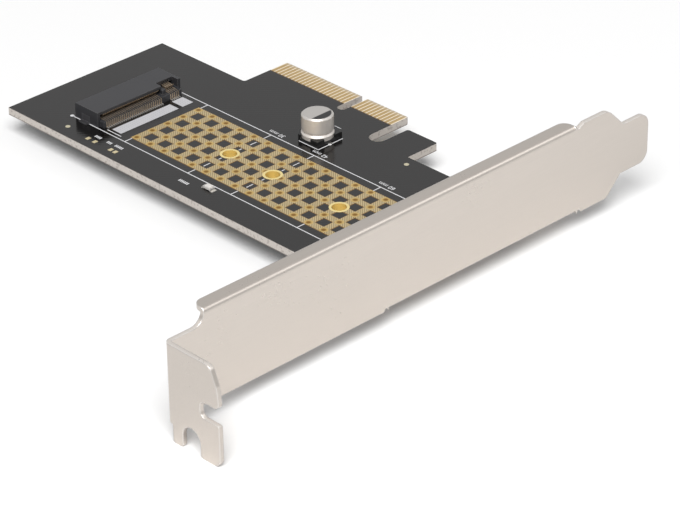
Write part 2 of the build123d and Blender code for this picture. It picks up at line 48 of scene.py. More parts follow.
# Places on the card in millimetres, in its own frame
board_top = 0.785
board_near_y = -57.39
board_side_shade_z = -0.6
mask_edge_x = -4.94
mask_border = 0.25
tongue_near_y = -12.15
tongue_wear_x = -0.6
contact_wear_x = -1.0
module_axis_x = -34.95
module_lengths = (30, 42, 60, 80)
module_holes_y = (1.41, -10.59, -28.59, -48.59)
socket_front_y = 26.5
pin_foot_height = 0.3
tinned_pads_far_y = 10.0
can_centre = (-18.56, -5.76)
can_mark_offset = 1.0
can_mark_radius = 2.72
screws_middle = (-32.65, -54.29)
screws_half_spread = 15.65
cross_half_width = 0.32
cross_reach = 1.4
tab_inner_x = -102.37
tab_fold_reach = 0.4
top_flange_x = (-94.85, -3.5)
top_flange_low_z = 16.0
# Where the painted shade low on the bracket's face sits and how far it spreads
sheet_shade_top_z = 5.0
sheet_shade_spread = 9.0

# Copper lattice in millimetres
lattice_pitch = 4.0
lattice_first_row_y = 17.26
lattice_half_x = 8.77
lattice_far_y = 20.03
lattice_opening_half = 1.225
lattice_rim_width = 0.15
hatch_pitch = 0.4
hatch_line_half = 0.085
spot_radius = 0.48
spot_ring_radius = 0.9

# Faint traces under the board's black mask, in millimetres
trace_pitch = 0.9
trace_patch_per_mm = 0.06
trace_patch_limit = 0.52
trace_height = 1.5

# Finishes, as shares of one
mask_roughness = 0.17
laminate_roughness = 0.6
board_side_roughness = 0.75
speck_limit = 0.6
hatch_grain_height = 0.2
sheet_grain_height = 0.3
screw_grain_height = 0.05
rolled_stretch = (0.05, 1.0, 1.0)
turned_stretch = (0.2, 0.2, 6.0)
# Metallic taken off the sheet's upward cut faces for their painted highlight
cut_highlight_metal_loss = 0.7
can_metallic = 0.5

# Softened edges, by how squarely the rounded surface still faces outward; the same mask sets where the
# painted edge highlight goes
edge_start = 0.995
edge_full = 0.85

# White print in millimetres
print_thick = 0.02
line_width = 0.2
line_distance = 10.8
left_line_x = module_axis_x - line_distance
right_line_x = module_axis_x + line_distance
lines_near_y = board_near_y + 0.5
left_line_far_y = 34.9
right_line_far_y = 27.42
line_dot_shift = 0.3
line_dot_radius = 0.42
line_hook_start = 0.3
line_hook_end = 1.7
socket_mark_x = -44.83
socket_mark_y = (25.6, 21.8)
can_frame_left_x = -22.0
can_frame_left_y = (-4.2, -9.2)
can_frame_near_y = -9.47
can_frame_gap_x = (-19.35, -18.45)
can_frame_near_end_x = -15.6
can_frame_right_x = -12.87
can_frame_right_y = (-4.65, -6.2)
can_dot_x = -18.9
can_dot_radius = 0.34
field_long = (-44.1, -29.2, 22.55, 25.2)
field_short = (-28.15, -25.35, 22.6, 25.75)
field_dot_pitch = 0.5
number_length = 4.0
number_line_distance = 1.15
number_shift_y = -0.4
number_half_thick = 0.01
tick_length = 1.85
socket_tick_y = 19.6
island_half_width = 0.1
island_rows = (1.3, -10.7)
island_kinds = {"long": (1.7, 12.0), "short": (0.8, 5.2)}
bar_half_length = 0.36
bar_half_width = 0.13
bar_pitch = 0.45
bar_groups = {
    "a": (4, -48.1, 24.6),
    "b": (3, -48.1, 21.3),
    "c": (5, -48.0, 18.6),
    "d": (6, -48.6, -0.7),
}

# Studio, with its lamps in metres and its floor and camera in millimetres
sky_seen_in_metal = 0.66
sky_on_surfaces = 0.14
floor_glow = 0.085
floor_half = 4000.0
lamp_target = (-0.04, -0.03, 0.0)
lamps = {
    "key": {"place": (-0.94, -0.82, 1.74), "size": 1.55, "power": 54.0},
    "front_right": {"place": (0.7, -0.6, 0.75), "size": 0.6, "power": 0.9},
}
camera_place = (-390.26, -400.52, 284.875)
camera_right = (0.71772, -0.69620, -0.01331)
camera_forward = (0.59903, 0.62707, -0.49795)
camera_lens = 168.24
camera_sensor = 36.0


def srgb(red, green, blue):
    linear = []
    for value in (red, green, blue):
        share = value / 255
        linear.append(share / 12.92 if share <= 0.04045 else ((share + 0.055) / 1.055) ** 2.4)
    return (*linear, 1.0)


# Colours

pure_white = (1.0, 1.0, 1.0, 1.0)
middle_grey = (0.5, 0.5, 0.5, 1.0)
floor_dark = (0.90, 0.90, 0.90, 1.0)
floor_pale = (0.92, 0.92, 0.92, 1.0)
mask_black = srgb(16, 14, 14)
laminate_pale = srgb(244, 234, 216)
laminate_dark = srgb(232, 220, 198)
laminate_worn = srgb(210, 200, 188)
edge_pale = srgb(206, 199, 192)
edge_dark = srgb(188, 181, 174)
edge_speck = srgb(170, 162, 155)
# board side's lowest strip: painted shade
edge_shade = srgb(130, 122, 116)
rim_amber = srgb(120, 88, 40)
rim_brown = srgb(84, 62, 38)
contact_colour = srgb(196, 166, 112)
contact_worn = srgb(206, 190, 162)
placing_pad_colour = srgb(208, 200, 172)
part_pad_gilt = srgb(220, 206, 168)
part_pad_tinned = srgb(214, 210, 204)
lattice_ground = srgb(126, 103, 62)
lattice_line = srgb(214, 195, 152)
spot_ring_colour = srgb(208, 178, 112)
spot_colour = srgb(142, 101, 30)
# bore wall colour brightened: painted light inside the holes
hole_wall_painted_light = srgb(236, 201, 111)
hole_pad_colour = srgb(230, 210, 144)
pin_colour = srgb(182, 164, 142)
tin_colour = srgb(214, 212, 208)
# anchor tin darkened: painted shade
anchor_shade_colour = srgb(108, 107, 110)
housing_colour = srgb(48, 48, 51)
can_base_colour = srgb(12, 12, 13)
can_side_dark = srgb(212, 206, 200)
can_side_pale = srgb(228, 222, 216)
can_top_colour = srgb(196, 192, 188)
can_mark_black = srgb(30, 29, 30)
lens_colour = srgb(222, 218, 214)
sheet_dark = srgb(209, 201, 193)
sheet_pale = srgb(214, 206, 198)
# sheet colour towards the bottom: painted shade
sheet_low_shade = srgb(203, 195, 187)
# tab colours: a darker copy of the sheet, painted shade on the tab's outer face
tab_shade_dark = srgb(204, 196, 188)
tab_shade_pale = srgb(210, 202, 194)
# upward cut faces: colour for a painted highlight
sheet_cut_highlight = srgb(212, 205, 198)
screw_colour = srgb(196, 194, 192)
# dark cross in the screw heads: painted shade in the recess
cross_recess_shade = srgb(46, 45, 45)
print_white = srgb(226, 226, 228)
field_white = srgb(200, 200, 203)
field_dot_grey = srgb(176, 176, 180)


# Node helpers

def node(tree, kind, inputs=None, **settings):
    made = tree.nodes.new(kind)
    for key, value in settings.items():
        setattr(made, key, value)
    for key, value in (inputs or {}).items():
        if isinstance(value, bpy.types.NodeSocket):
            tree.links.new(value, made.inputs[key])
        else:
            made.inputs[key].default_value = value
    return made


def maths(tree, operation, *values):
    made = node(tree, "ShaderNodeMath", dict(enumerate(values)), operation=operation)
    return made.outputs[0]


def scaled(tree, vector, scale):
    made = node(tree, "ShaderNodeVectorMath", {0: vector, "Scale": scale}, operation="SCALE")
    return made.outputs[0]


def stretched(tree, vector, stretch):
    made = node(tree, "ShaderNodeVectorMath", {0: vector, 1: stretch}, operation="MULTIPLY")
    return made.outputs[0]


def mix_colour(tree, share, first, second):
    made = node(tree, "ShaderNodeMix", {0: share, 6: first, 7: second}, data_type="RGBA")
    return made.outputs[2]


def mix_value(tree, share, first, second):
    made = node(tree, "ShaderNodeMix", {0: share, 2: first, 3: second}, data_type="FLOAT")
    return made.outputs[0]


def noise(tree, place, scale, detail=2.0):
    made = node(tree, "ShaderNodeTexNoise", {"Vector": place, "Scale": scale, "Detail": detail})
    return made.outputs["Fac"]


def millimetres(tree):
    coordinates = node(tree, "ShaderNodeTexCoord")
    place = scaled(tree, coordinates.outputs["Object"], 1 / MM)
    apart = node(tree, "ShaderNodeSeparateXYZ", {0: place})
    return place, apart.outputs[0], apart.outputs[1], apart.outputs[2]


def start_material(name, **settings):
    material = bpy.data.materials.new(name)
    material.use_nodes = True
    tree = material.node_tree
    shader = tree.nodes["Principled BSDF"]
    for key, value in settings.items():
        shader.inputs[key.replace("_", " ")].default_value = value
    return material, tree, shader


def feed(tree, shader, **links):
    for key, socket in links.items():
        tree.links.new(socket, shader.inputs[key.replace("_", " ")])


def bump(tree, shader, height, strength, distance, normal=None):
    made = node(tree, "ShaderNodeBump", {"Height": height, "Strength": strength, "Distance": distance * MM})
    if normal is not None:
        tree.links.new(normal, made.inputs["Normal"])
    tree.links.new(made.outputs[0], shader.inputs["Normal"])


# Masks

def above(tree, value, limit, softness=0.02):
    made = node(tree, "ShaderNodeMapRange", {0: value, 1: limit - softness, 2: limit + softness})
    return made.outputs[0]


def below(tree, value, limit, softness=0.02):
    made = node(tree, "ShaderNodeMapRange", {0: value, 1: limit + softness, 2: limit - softness})
    return made.outputs[0]


def every(tree, *masks):
    share = masks[0]
    for mask in masks[1:]:
        share = maths(tree, "MULTIPLY", share, mask)
    return share


def between(tree, value, low, high, softness=0.02):
    return every(tree, above(tree, value, low, softness), below(tree, value, high, softness))


def opposite(tree, mask):
    return maths(tree, "SUBTRACT", 1.0, mask)


def level_faces(tree, limit=0.5, softness=0.02):
    geometry = node(tree, "ShaderNodeNewGeometry")
    apart = node(tree, "ShaderNodeSeparateXYZ", {0: geometry.outputs["Normal"]})
    return above(tree, maths(tree, "ABSOLUTE", apart.outputs[2]), limit, softness)


def away_from(tree, value, middle):
    return maths(tree, "ABSOLUTE", maths(tree, "SUBTRACT", value, middle))


def length_of(tree, off_x, off_y):
    squared = maths(tree, "ADD", maths(tree, "MULTIPLY", off_x, off_x), maths(tree, "MULTIPLY", off_y, off_y))
    return maths(tree, "SQRT", squared)


def distance_from(tree, x, y, centre):
    off_x = maths(tree, "SUBTRACT", x, centre[0])
    off_y = maths(tree, "SUBTRACT", y, centre[1])
    return length_of(tree, off_x, off_y)


def from_grid(tree, value, start, pitch):
    shifted = maths(tree, "SUBTRACT", value, start - pitch / 2)
    wrapped = maths(tree, "FLOORED_MODULO", shifted, pitch)
    return maths(tree, "SUBTRACT", wrapped, pitch / 2)


def distance_from_grid(tree, x, y, start_x, start_y, pitch):
    return length_of(tree, from_grid(tree, x, start_x, pitch), from_grid(tree, y, start_y, pitch))


def square_from_grid(tree, x, y, start_x, start_y, pitch):
    off_x = maths(tree, "ABSOLUTE", from_grid(tree, x, start_x, pitch))
    off_y = maths(tree, "ABSOLUTE", from_grid(tree, y, start_y, pitch))
    return maths(tree, "MAXIMUM", off_x, off_y)


def slanted(tree, operation, x, y):
    return maths(tree, "MULTIPLY", maths(tree, operation, x, y), math.sqrt(0.5))


# Shared effects

def new_group(name, inputs, outputs):
    group = bpy.data.node_groups.new(name, "ShaderNodeTree")
    for label, kind, default in inputs:
        socket = group.interface.new_socket(label, in_out="INPUT", socket_type=kind)
        if default is not None:
            socket.default_value = default
    for label, kind in outputs:
        group.interface.new_socket(label, in_out="OUTPUT", socket_type=kind)
    return group, node(group, "NodeGroupInput"), node(group, "NodeGroupOutput")


def make_surface_life():
    inputs = [
        ("Place", "NodeSocketVector", None),
        ("Colour", "NodeSocketColor", middle_grey),
        ("Roughness", "NodeSocketFloat", 0.5),
        ("Grain per mm", "NodeSocketFloat", 4.0),
        ("Cloud per mm", "NodeSocketFloat", 0.15),
        ("Colour change", "NodeSocketFloat", 0.06),
        ("Roughness change", "NodeSocketFloat", 0.08),
    ]
    outputs = [
        ("Colour", "NodeSocketColor"),
        ("Roughness", "NodeSocketFloat"),
        ("Height", "NodeSocketFloat"),
    ]
    group, given, made = new_group("surface_life", inputs, outputs)
    grain = noise(group, given.outputs["Place"], given.outputs["Grain per mm"])
    cloud = noise(group, given.outputs["Place"], given.outputs["Cloud per mm"], detail=3.0)
    both = maths(group, "ADD", grain, cloud)
    centred = maths(group, "SUBTRACT", both, 1.0)
    lift = maths(group, "MULTIPLY_ADD", centred, given.outputs["Colour change"], 1.0)
    change = maths(group, "MULTIPLY", centred, given.outputs["Roughness change"])
    roughness = maths(group, "ADD", given.outputs["Roughness"], change)
    group.links.new(scaled(group, given.outputs["Colour"], lift), made.inputs["Colour"])
    group.links.new(roughness, made.inputs["Roughness"])
    group.links.new(grain, made.inputs["Height"])
    return group


# Rounds edges through the bevel normal and lifts their colour towards white: a painted highlight along edges
def make_edges_with_painted_highlight():
    inputs = [
        ("Radius", "NodeSocketFloat", 0.0002),
        ("Lift", "NodeSocketFloat", 0.25),
        ("Colour", "NodeSocketColor", middle_grey),
    ]
    outputs = [("Colour", "NodeSocketColor"), ("Normal", "NodeSocketVector")]
    group, given, made = new_group("edges_with_painted_highlight", inputs, outputs)
    rounded = node(group, "ShaderNodeBevel", {"Radius": given.outputs["Radius"]}, samples=6)
    flat = node(group, "ShaderNodeNewGeometry").outputs["Normal"]
    same = node(group, "ShaderNodeVectorMath", {0: rounded.outputs[0], 1: flat}, operation="DOT_PRODUCT")
    edge = node(group, "ShaderNodeMapRange", {0: same.outputs["Value"], 1: edge_start, 2: edge_full})
    share = maths(group, "MULTIPLY", edge.outputs[0], given.outputs["Lift"])
    with_highlight = mix_colour(group, share, given.outputs["Colour"], pure_white)
    group.links.new(with_highlight, made.inputs["Colour"])
    group.links.new(rounded.outputs[0], made.inputs["Normal"])
    return group


surface_life = make_surface_life()
edges_with_painted_highlight = make_edges_with_painted_highlight()


def enliven(tree, shader, place, colour, roughness, grain, cloud, colour_change, roughness_change):
    inputs = {
        "Place": place,
        "Colour": colour,
        "Roughness": roughness,
        "Grain per mm": grain,
        "Cloud per mm": cloud,
        "Colour change": colour_change,
        "Roughness change": roughness_change,
    }
    made = node(tree, "ShaderNodeGroup", inputs, node_tree=surface_life)
    feed(tree, shader, Base_Color=made.outputs["Colour"], Roughness=made.outputs["Roughness"])
    return made.outputs["Height"]


# lift is the strength of the painted edge highlight
def with_edge_highlight(tree, colour, radius, lift):
    inputs = {"Radius": radius * MM, "Lift": lift, "Colour": colour}
    made = node(tree, "ShaderNodeGroup", inputs, node_tree=edges_with_painted_highlight)
    return made.outputs["Colour"], made.outputs["Normal"]


# Materials

def board_side_colour(tree, place, z):
    waves = {"Vector": place, "Scale": 1.6, "Distortion": 1.5}
    plies = node(tree, "ShaderNodeTexWave", waves, bands_direction="Z")
    speck = above(tree, noise(tree, place, scale=1.6), speck_limit, softness=0.05)
    colour = mix_colour(tree, plies.outputs["Fac"], edge_dark, edge_pale)
    colour = mix_colour(tree, speck, colour, edge_speck)
    # The lowest strip of the board's side is painted shade
    return mix_colour(tree, below(tree, z, board_side_shade_z, softness=0.08), colour, edge_shade)


def board_face_colour(tree, place, x, y, z, bare):
    middle_x = module_axis_x + lattice_pitch / 2
    square = square_from_grid(tree, x, y, middle_x, lattice_first_row_y, lattice_pitch)
    lattice_rim = every(
        tree,
        below(tree, away_from(tree, x, module_axis_x), lattice_half_x + lattice_rim_width),
        below(tree, y, lattice_far_y + lattice_rim_width),
        above(tree, square, lattice_opening_half - lattice_rim_width, softness=0.05),
        above(tree, z, 0.0),
    )
    beside_mask = between(tree, x, mask_edge_x - mask_border, mask_edge_x)
    mask_rim = every(tree, beside_mask, above(tree, y, tongue_near_y))
    masked = mix_colour(tree, lattice_rim, mask_black, rim_amber)
    laminate = mix_colour(tree, noise(tree, place, scale=1.2), laminate_dark, laminate_pale)
    laminate = mix_colour(tree, above(tree, x, tongue_wear_x, softness=0.5), laminate, laminate_worn)
    face = mix_colour(tree, bare, masked, laminate)
    return mix_colour(tree, mask_rim, face, rim_brown)


def board_material():
    material, tree, shader = start_material("black_solder_mask", IOR=1.5)
    place, x, y, z = millimetres(tree)
    level = level_faces(tree)
    bare = every(tree, above(tree, x, mask_edge_x), above(tree, y, tongue_near_y))
    side = board_side_colour(tree, place, z)
    face = board_face_colour(tree, place, x, y, z, bare)
    colour = mix_colour(tree, level, side, face)
    face_roughness = mix_value(tree, bare, mask_roughness, laminate_roughness)
    roughness = mix_value(tree, level, board_side_roughness, face_roughness)
    height = enliven(
        tree, shader, place, colour, roughness,
        grain=3.0, cloud=0.08, colour_change=0.10, roughness_change=0.10,
    )
    off_trace = maths(tree, "ABSOLUTE", from_grid(tree, slanted(tree, "ADD", x, y), 0.0, trace_pitch))
    trace = below(tree, off_trace, trace_pitch / 4, softness=0.1)
    patch = above(tree, noise(tree, place, trace_patch_per_mm), trace_patch_limit)
    raised = maths(tree, "MULTIPLY_ADD", every(tree, trace, patch, level), trace_height, height)
    bump(tree, shader, raised, strength=0.12, distance=0.03)
    return material


def gold_material(name, colour, roughness, metallic):
    material, tree, shader = start_material(name, Metallic=metallic, IOR=1.6)
    place, x, _, _ = millimetres(tree)
    worn = mix_colour(tree, above(tree, x, contact_wear_x, softness=0.8), colour, contact_worn)
    edge_highlighted, normal = with_edge_highlight(tree, worn, radius=0.05, lift=0.12)
    height = enliven(
        tree, shader, place, edge_highlighted, roughness,
        grain=6.0, cloud=0.3, colour_change=0.10, roughness_change=0.12,
    )
    bump(tree, shader, height, strength=0.10, distance=0.02, normal=normal)
    return material


def lattice_material():
    material, tree, shader = start_material("lattice_gold", Metallic=0.5, IOR=1.5)
    place, x, y, _ = millimetres(tree)
    lines = []
    for operation in ("ADD", "SUBTRACT"):
        along = slanted(tree, operation, x, y)
        off_line = maths(tree, "ABSOLUTE", from_grid(tree, along, 0.0, hatch_pitch))
        lines.append(below(tree, off_line, hatch_line_half, softness=0.03))
    hatch = maths(tree, "MAXIMUM", *lines)
    crossing_row_y = lattice_first_row_y + lattice_pitch / 2
    crossing = distance_from_grid(tree, x, y, module_axis_x, crossing_row_y, lattice_pitch)
    ring = below(tree, crossing, spot_ring_radius, softness=0.06)
    spot = below(tree, crossing, spot_radius, softness=0.14)
    hatched = mix_colour(tree, hatch, lattice_ground, lattice_line)
    ringed = mix_colour(tree, ring, hatched, spot_ring_colour)
    colour = mix_colour(tree, spot, ringed, spot_colour)
    height = enliven(
        tree, shader, place, colour,
        roughness=0.42, grain=5.0, cloud=0.2, colour_change=0.10, roughness_change=0.12,
    )
    raised = maths(tree, "MULTIPLY_ADD", height, hatch_grain_height, hatch)
    bump(tree, shader, raised, strength=0.4, distance=0.03)
    return material


def hole_material():
    material, tree, shader = start_material("hole_gold", IOR=1.5)
    place = millimetres(tree)[0]
    level = level_faces(tree)
    # Walls take a brightened, non-metallic gold: painted light inside the bores, where little lamp light
    # reaches
    colour = mix_colour(tree, level, hole_wall_painted_light, hole_pad_colour)
    edge_highlighted, normal = with_edge_highlight(tree, colour, radius=0.06, lift=0.3)
    height = enliven(
        tree, shader, place, edge_highlighted,
        roughness=0.36, grain=6.0, cloud=0.3, colour_change=0.08, roughness_change=0.1,
    )
    bump(tree, shader, height, strength=0.1, distance=0.02, normal=normal)
    return material


def bracket_material():
    material, tree, shader = start_material("satin_nickel")
    place, x, _, z = millimetres(tree)
    rolled = noise(tree, stretched(tree, place, rolled_stretch), scale=3.0, detail=3.0)
    sheet = mix_colour(tree, rolled, sheet_dark, sheet_pale)
    # The face darkens towards its bottom: painted shade
    sheet = mix_colour(tree, below(tree, z, sheet_shade_top_z, softness=sheet_shade_spread), sheet, sheet_low_shade)
    # The bent tab's outer face gets a darker copy of the sheet colour: painted shade
    tab_shaded = mix_colour(tree, rolled, tab_shade_dark, tab_shade_pale)
    colour = mix_colour(tree, below(tree, x, tab_inner_x + tab_fold_reach, softness=0.4), sheet, tab_shaded)
    in_flange = every(tree, between(tree, x, *top_flange_x, softness=0.1), above(tree, z, top_flange_low_z))
    # Upward cut faces get their own, less metallic colour so they show as bright lips: a painted highlight
    cut_highlight = every(tree, level_faces(tree, limit=0.6, softness=0.1), opposite(tree, in_flange))
    colour = mix_colour(tree, cut_highlight, colour, sheet_cut_highlight)
    edge_highlighted, normal = with_edge_highlight(tree, colour, radius=0.4, lift=0.35)
    height = enliven(
        tree, shader, place, edge_highlighted,
        roughness=0.3, grain=2.0, cloud=0.05, colour_change=0.03, roughness_change=0.08,
    )
    feed(tree, shader, Metallic=maths(tree, "MULTIPLY_ADD", cut_highlight, -cut_highlight_metal_loss, 1.0))
    uneven = maths(tree, "MULTIPLY_ADD", height, sheet_grain_height, rolled)
    bump(tree, shader, uneven, strength=0.05, distance=0.02, normal=normal)
    return material


def part_pad_material():
    material, tree, shader = start_material("part_pad_metal", Metallic=0.4, IOR=1.6)
    place, _, y, _ = millimetres(tree)
    colour = mix_colour(tree, below(tree, y, tinned_pads_far_y, softness=0.1), part_pad_gilt, part_pad_tinned)
    height = enliven(
        tree, shader, place, colour,
        roughness=0.4, grain=6.0, cloud=0.3, colour_change=0.10, roughness_change=0.12,
    )
    bump(tree, shader, height, strength=0.10, distance=0.02)
    return material


def plastic_material(name, colour, roughness, grain=8.0, edge_highlight_lift=0.05):
    material, tree, shader = start_material(name, IOR=1.5)
    place = millimetres(tree)[0]
    edge_highlighted, normal = with_edge_highlight(tree, colour, radius=0.1, lift=edge_highlight_lift)
    height = enliven(
        tree, shader, place, edge_highlighted, roughness,
        grain=grain, cloud=0.2, colour_change=0.14, roughness_change=0.1,
    )
    bump(tree, shader, height, strength=0.25, distance=0.02, normal=normal)
    return material


def metal_material(name, colour, roughness):
    material, tree, shader = start_material(name, Metallic=1.0)
    place = millimetres(tree)[0]
    edge_highlighted, normal = with_edge_highlight(tree, colour, radius=0.06, lift=0.15)
    height = enliven(
        tree, shader, place, edge_highlighted, roughness,
        grain=6.0, cloud=0.3, colour_change=0.08, roughness_change=0.12,
    )
    bump(tree, shader, height, strength=0.08, distance=0.02, normal=normal)
    return material


def pin_material():
    material, tree, shader = start_material("pin_gold", Metallic=0.8, IOR=1.5)
    place, _, y, z = millimetres(tree)
    in_front = below(tree, y, socket_front_y, softness=0.05)
    low = below(tree, z, board_top + pin_foot_height, softness=0.05)
    colour = mix_colour(tree, every(tree, in_front, low), pin_colour, tin_colour)
    height = enliven(
        tree, shader, place, colour,
        roughness=0.38, grain=6.0, cloud=0.3, colour_change=0.10, roughness_change=0.12,
    )
    bump(tree, shader, height, strength=0.1, distance=0.02)
    return material


def screw_material():
    material, tree, shader = start_material("screw_steel", Metallic=1.0)
    place, x, y, z = millimetres(tree)
    off_x = away_from(tree, away_from(tree, x, screws_middle[0]), screws_half_spread)
    off_y = away_from(tree, y, screws_middle[1])
    narrow = below(tree, maths(tree, "MINIMUM", off_x, off_y), cross_half_width, softness=0.04)
    short = below(tree, maths(tree, "MAXIMUM", off_x, off_y), cross_reach, softness=0.08)
    # The cross recess is sunk by the bump and painted dark: painted shade in the recess
    cross = every(tree, narrow, short, level_faces(tree, limit=0.7), above(tree, z, board_top))
    colour = mix_colour(tree, cross, screw_colour, cross_recess_shade)
    edge_highlighted, normal = with_edge_highlight(tree, colour, radius=0.2, lift=0.15)
    height = enliven(
        tree, shader, place, edge_highlighted,
        roughness=0.25, grain=6.0, cloud=0.3, colour_change=0.08, roughness_change=0.12,
    )
    sunk = maths(tree, "SUBTRACT", maths(tree, "MULTIPLY", height, screw_grain_height), cross)
    bump(tree, shader, sunk, strength=0.6, distance=0.2, normal=normal)
    return material


def can_material():
    material, tree, shader = start_material("can_aluminium", IOR=1.5)
    place, x, y, _ = millimetres(tree)
    level = level_faces(tree, limit=0.7)
    near_part = below(tree, y, can_centre[1] - can_mark_offset, softness=0.03)
    inside = below(tree, distance_from(tree, x, y, can_centre), can_mark_radius, softness=0.03)
    mark = every(tree, near_part, inside, level)
    lines = noise(tree, stretched(tree, place, turned_stretch), scale=1.5, detail=3.0)
    metal = mix_colour(tree, lines, can_side_dark, can_side_pale)
    metal = mix_colour(tree, level, metal, can_top_colour)
    edge_highlighted, normal = with_edge_highlight(tree, metal, radius=0.15, lift=0.3)
    colour = mix_colour(tree, mark, edge_highlighted, can_mark_black)
    enliven(
        tree, shader, place, colour,
        roughness=0.42, grain=5.0, cloud=0.3, colour_change=0.04, roughness_change=0.08,
    )
    feed(tree, shader, Metallic=maths(tree, "MULTIPLY", opposite(tree, mark), can_metallic))
    bump(tree, shader, lines, strength=0.05, distance=0.02, normal=normal)
    return material


def print_material(name, colour, dot_pitch=None):
    material, tree, shader = start_material(name, IOR=1.45)
    place, x, y, _ = millimetres(tree)
    ink = colour
    if dot_pitch:
        off_dot = distance_from_grid(tree, x, y, 0.0, 0.0, dot_pitch)
        ink = mix_colour(tree, below(tree, off_dot, dot_pitch / 4, softness=0.05), colour, field_dot_grey)
    height = enliven(
        tree, shader, place, ink,
        roughness=0.55, grain=5.0, cloud=0.4, colour_change=0.10, roughness_change=0.08,
    )
    bump(tree, shader, height, strength=0.2, distance=0.01)
    return material


board_black = board_material()
lattice_gold = lattice_material()
hole_gold = hole_material()
contact_gold = gold_material("contact_gold", contact_colour, roughness=0.36, metallic=0.5)
pad_gold = gold_material("pad_gold", placing_pad_colour, roughness=0.4, metallic=0.4)
part_pad_metal = part_pad_material()
pin_gold = pin_material()
satin_nickel = bracket_material()
socket_black = plastic_material("socket_black", housing_colour, roughness=0.42, edge_highlight_lift=0.1)
base_black = plastic_material("base_black", can_base_colour, roughness=0.35)
can_aluminium = can_material()
tinned = metal_material("tinned", tin_colour, roughness=0.3)
# Solder anchors are tin darkened to near the housing's black: painted shade
anchor_painted_shade = metal_material("anchor_painted_shade", anchor_shade_colour, roughness=0.5)
screw_steel = screw_material()
lens_milky = plastic_material("lens_milky", lens_colour, roughness=0.3, grain=3.0)
white_print = print_material("white_print", print_white)
field_print = print_material("field_print", field_white, field_dot_pitch)

node_materials = {
    "circuit_board": board_black,
    "lattice_copper": lattice_gold,
    "edge_contacts_front": contact_gold,
    "edge_contacts_back": contact_gold,
    "part_pads": part_pad_metal,
    "placing_pads": pad_gold,
    "socket_housing": socket_black,
    "socket_lower_contacts": pin_gold,
    "socket_upper_contacts": pin_gold,
    "socket_anchor_left": anchor_painted_shade,
    "socket_anchor_right": anchor_painted_shade,
    "capacitor_can": can_aluminium,
    "capacitor_base": base_black,
    "capacitor_leads": tinned,
    "light_body": lens_milky,
    "light_terminals": tinned,
    "bracket": satin_nickel,
    "bracket_screws": screw_steel,
}
for length in module_lengths:
    node_materials[f"hole_plating_{length}"] = hole_gold
for name, material in node_materials.items():
    mesh = nodes[name].data
    mesh.materials.clear()
    mesh.materials.append(material)


# Mesh helpers

def linked_object(name, data):
    made = bpy.data.objects.new(name, data)
    bpy.context.scene.collection.objects.link(made)
    return made


def plain_mesh(holder):
    return bpy.data.meshes.new_from_object(holder.evaluated_get(bpy.context.evaluated_depsgraph_get()))


def finished_piece(name, vertices, faces, material):
    mesh = bpy.data.meshes.new(name)
    mesh.from_pydata([[value * MM for value in vertex] for vertex in vertices], [], faces)
    mesh.materials.append(material)
    return linked_object(name, mesh)


def add_prism(vertices, faces, outline, low, high):
    start = len(vertices)
    count = len(outline)
    vertices += [(x, y, low) for x, y in outline]
    vertices += [(x, y, high) for x, y in outline]
    faces.append([start + index for index in reversed(range(count))])
    faces.append([start + count + index for index in range(count)])
    for index in range(count):
        following = (index + 1) % count
        faces.append([start + index, start + following, start + count + following, start + count + index])


def stroke(from_place, to_place):
    start, end = Vector(from_place), Vector(to_place)
    along = (end - start).normalized() * line_width / 2
    across = Vector((-along.y, along.x))
    corners = (start - along - across, end + along - across, end + along + across, start - along + across)
    return [tuple(corner) for corner in corners]


def stroke_along(x, start_y, end_y):
    return stroke((x, start_y), (x, end_y))


def stroke_across(y, start_x, end_x):
    return stroke((start_x, y), (end_x, y))


def disc(place, radius, count=20):
    angles = [2 * math.pi * index / count for index in range(count)]
    return [(place[0] + radius * math.cos(angle), place[1] + radius * math.sin(angle)) for angle in angles]


def rectangle(left, right, near, far):
    return [(left, near), (right, near), (right, far), (left, far)]


# White print

def drawn_piece(name, outlines, material):
    vertices, faces = [], []
    for outline in outlines:
        add_prism(vertices, faces, outline, board_top, board_top + print_thick)
    piece = finished_piece(name, vertices, faces, material)
    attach(piece, "root")


def line_outlines():
    return [
        stroke_along(left_line_x, left_line_far_y, lines_near_y),
        stroke_along(right_line_x, right_line_far_y, lines_near_y),
        disc((left_line_x, left_line_far_y + line_dot_shift), line_dot_radius),
    ]


def mark_outlines():
    return [
        stroke_across(right_line_far_y, right_line_x - line_hook_start, right_line_x - line_hook_end),
        stroke_along(socket_mark_x, *socket_mark_y),
        stroke_along(can_frame_left_x, *can_frame_left_y),
        stroke_across(can_frame_near_y, can_frame_left_x, can_frame_gap_x[0]),
        disc((can_dot_x, can_frame_near_y), can_dot_radius),
        stroke_across(can_frame_near_y, can_frame_gap_x[1], can_frame_near_end_x),
        stroke_along(can_frame_right_x, *can_frame_right_y),
    ]


def number_piece(text, hole_y):
    curve = bpy.data.curves.new("number", "FONT")
    curve.body = text
    curve.extrude = number_half_thick
    curve.resolution_u = 3
    holder = linked_object("number", curve)
    mesh = plain_mesh(holder)
    bpy.data.objects.remove(holder)
    across = [vertex.co.x for vertex in mesh.vertices]
    upward = [vertex.co.y for vertex in mesh.vertices]
    middle = Vector((min(across) + max(across), min(upward) + max(upward), 0.0)) / 2
    size = number_length / (max(across) - min(across))
    centre_x = right_line_x + number_line_distance
    centre = Vector((centre_x, hole_y + number_shift_y, board_top + number_half_thick)) * MM
    turned = Matrix.Rotation(math.pi / 2, 4, "Z") @ Matrix.Diagonal((size * MM, size * MM, MM, 1.0))
    mesh.transform(Matrix.Translation(centre) @ turned @ Matrix.Translation(-middle))
    mesh.materials.clear()
    mesh.materials.append(white_print)
    piece = linked_object(f"print_number_{text.split()[0]}", mesh)
    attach(piece, "root")


